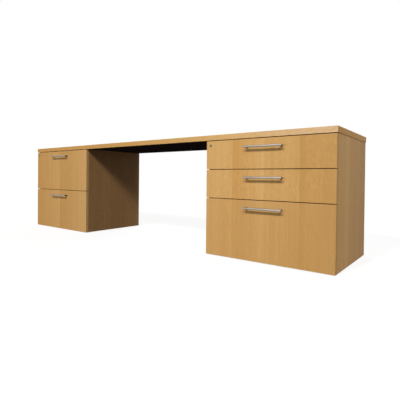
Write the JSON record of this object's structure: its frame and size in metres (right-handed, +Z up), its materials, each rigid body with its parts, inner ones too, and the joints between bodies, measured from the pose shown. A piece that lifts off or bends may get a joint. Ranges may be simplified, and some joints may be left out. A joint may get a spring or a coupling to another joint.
{
  "type": "kneehole credenza",
  "caption": "Long low credenza: one veneered top over two drawer cases with an open kneehole between, bar pulls, gang locks and full-extension drawers.",
  "frame": {"origin": "on the floor, in the middle of the whole outline from the handles to the back edge", "axes": "+X along the top to the right as seen from the front, +Y from the fronts to the back, +Z up"},
  "size_m": [2.743, 0.64, 0.729],
  "materials": {
    "veneer": "satin lacquered veneer, grain upright",
    "slab_wood": "satin lacquered veneer, grain along the top",
    "case_wood": "satin",
    "box_wood": "clear lacquered maple",
    "black_backer": "matte laminate sheet",
    "black_plastic": "matte",
    "zinc_steel": "zinc plated",
    "satin_nickel": "satin nickel plated"
  },
  "bodies": {
    "cabinet": {"top_slab": "slab_wood", "top_backer": "black_backer", "top_screws": "zinc_steel", "levelling_glides": "black_plastic", "left_case_left_side": "veneer", "left_case_right_side": "veneer", "left_case_bottom": "case_wood", "left_case_back": "veneer", "left_case_rails": "case_wood", "left_case_runners": "zinc_steel", "right_case_left_side": "veneer", "right_case_right_side": "veneer", "right_case_bottom": "case_wood", "right_case_back": "veneer", "right_case_rails": "case_wood", "right_case_runners": "zinc_steel"},
    "left_lock_bar": {"left_case_lock_bar": "zinc_steel"},
    "right_lock_bar": {"right_case_lock_bar": "zinc_steel"},
    "left_upper_file_drawer": {"left_upper_file_front": "veneer", "left_upper_file_box_sides": "box_wood", "left_upper_file_box_ends": "box_wood", "left_upper_file_box_bottom": "box_wood", "left_upper_file_handle": "satin_nickel", "left_upper_file_runners": "zinc_steel", "left_upper_file_hanging_rails": "zinc_steel", "left_lock_barrel": "satin_nickel"},
    "left_upper_file_middle_runner": {"left_upper_file_middle_runners": "zinc_steel"},
    "left_lower_file_drawer": {"left_lower_file_front": "veneer", "left_lower_file_box_sides": "box_wood", "left_lower_file_box_ends": "box_wood", "left_lower_file_box_bottom": "box_wood", "left_lower_file_handle": "satin_nickel", "left_lower_file_runners": "zinc_steel", "left_lower_file_hanging_rails": "zinc_steel"},
    "left_lower_file_middle_runner": {"left_lower_file_middle_runners": "zinc_steel"},
    "right_upper_box_drawer": {"right_upper_box_front": "veneer", "right_upper_box_box_sides": "box_wood", "right_upper_box_box_ends": "box_wood", "right_upper_box_box_bottom": "box_wood", "right_upper_box_handle": "satin_nickel", "right_upper_box_runners": "zinc_steel", "right_lock_barrel": "satin_nickel"},
    "right_upper_box_middle_runner": {"right_upper_box_middle_runners": "zinc_steel"},
    "right_middle_box_drawer": {"right_middle_box_front": "veneer", "right_middle_box_box_sides": "box_wood", "right_middle_box_box_ends": "box_wood", "right_middle_box_box_bottom": "box_wood", "right_middle_box_handle": "satin_nickel", "right_middle_box_runners": "zinc_steel"},
    "right_middle_box_middle_runner": {"right_middle_box_middle_runners": "zinc_steel"},
    "right_lower_file_drawer": {"right_lower_file_front": "veneer", "right_lower_file_box_sides": "box_wood", "right_lower_file_box_ends": "box_wood", "right_lower_file_box_bottom": "box_wood", "right_lower_file_handle": "satin_nickel", "right_lower_file_runners": "zinc_steel", "right_lower_file_hanging_rails": "zinc_steel"},
    "right_lower_file_middle_runner": {"right_lower_file_middle_runners": "zinc_steel"},
    "left_lock_plug": {"left_lock_plug": "satin_nickel"},
    "right_lock_plug": {"right_lock_plug": "satin_nickel"}
  },
  "joints": [
    {"name": "left_upper_file_slide", "type": "slide", "parent": "cabinet", "child": "left_upper_file_drawer", "axis": [0, -1, 0], "range_m": [0, 0.5]},
    {"name": "left_upper_file_middle_runner_slide", "type": "slide", "parent": "cabinet", "child": "left_upper_file_middle_runner", "axis": [0, -1, 0], "range_m": [0, 0.25]},
    {"name": "left_lower_file_slide", "type": "slide", "parent": "cabinet", "child": "left_lower_file_drawer", "axis": [0, -1, 0], "range_m": [0, 0.5]},
    {"name": "left_lower_file_middle_runner_slide", "type": "slide", "parent": "cabinet", "child": "left_lower_file_middle_runner", "axis": [0, -1, 0], "range_m": [0, 0.25]},
    {"name": "right_upper_box_slide", "type": "slide", "parent": "cabinet", "child": "right_upper_box_drawer", "axis": [0, -1, 0], "range_m": [0, 0.5]},
    {"name": "right_upper_box_middle_runner_slide", "type": "slide", "parent": "cabinet", "child": "right_upper_box_middle_runner", "axis": [0, -1, 0], "range_m": [0, 0.25]},
    {"name": "right_middle_box_slide", "type": "slide", "parent": "cabinet", "child": "right_middle_box_drawer", "axis": [0, -1, 0], "range_m": [0, 0.5]},
    {"name": "right_middle_box_middle_runner_slide", "type": "slide", "parent": "cabinet", "child": "right_middle_box_middle_runner", "axis": [0, -1, 0], "range_m": [0, 0.25]},
    {"name": "right_lower_file_slide", "type": "slide", "parent": "cabinet", "child": "right_lower_file_drawer", "axis": [0, -1, 0], "range_m": [0, 0.5]},
    {"name": "right_lower_file_middle_runner_slide", "type": "slide", "parent": "cabinet", "child": "right_lower_file_middle_runner", "axis": [0, -1, 0], "range_m": [0, 0.25]},
    {"name": "left_lock_turn", "type": "hinge", "parent": "left_upper_file_drawer", "child": "left_lock_plug", "pos_m": [-1.3395, -0.288, 0.665], "axis": [0, 1, 0], "range_deg": [0, 90]},
    {"name": "left_bar_lift", "type": "slide", "parent": "cabinet", "child": "left_lock_bar", "axis": [0, 0, 1], "range_m": [0, 0.007]},
    {"name": "right_lock_turn", "type": "hinge", "parent": "right_upper_box_drawer", "child": "right_lock_plug", "pos_m": [0.6355, -0.288, 0.665], "axis": [0, 1, 0], "range_deg": [0, 90]},
    {"name": "right_bar_lift", "type": "slide", "parent": "cabinet", "child": "right_lock_bar", "axis": [0, 0, 1], "range_m": [0, 0.007]}
  ],
  "couplings": [
    {"joint": "left_upper_file_middle_runner_slide", "follows": "left_upper_file_slide", "ratio": 0.5},
    {"joint": "left_lower_file_middle_runner_slide", "follows": "left_lower_file_slide", "ratio": 0.5},
    {"joint": "right_upper_box_middle_runner_slide", "follows": "right_upper_box_slide", "ratio": 0.5},
    {"joint": "right_middle_box_middle_runner_slide", "follows": "right_middle_box_slide", "ratio": 0.5},
    {"joint": "right_lower_file_middle_runner_slide", "follows": "right_lower_file_slide", "ratio": 0.5},
    {"joint": "left_lock_turn", "follows": "left_bar_lift", "rad_per_m": 224.39},
    {"joint": "right_lock_turn", "follows": "right_bar_lift", "rad_per_m": 224.39}
  ]
}
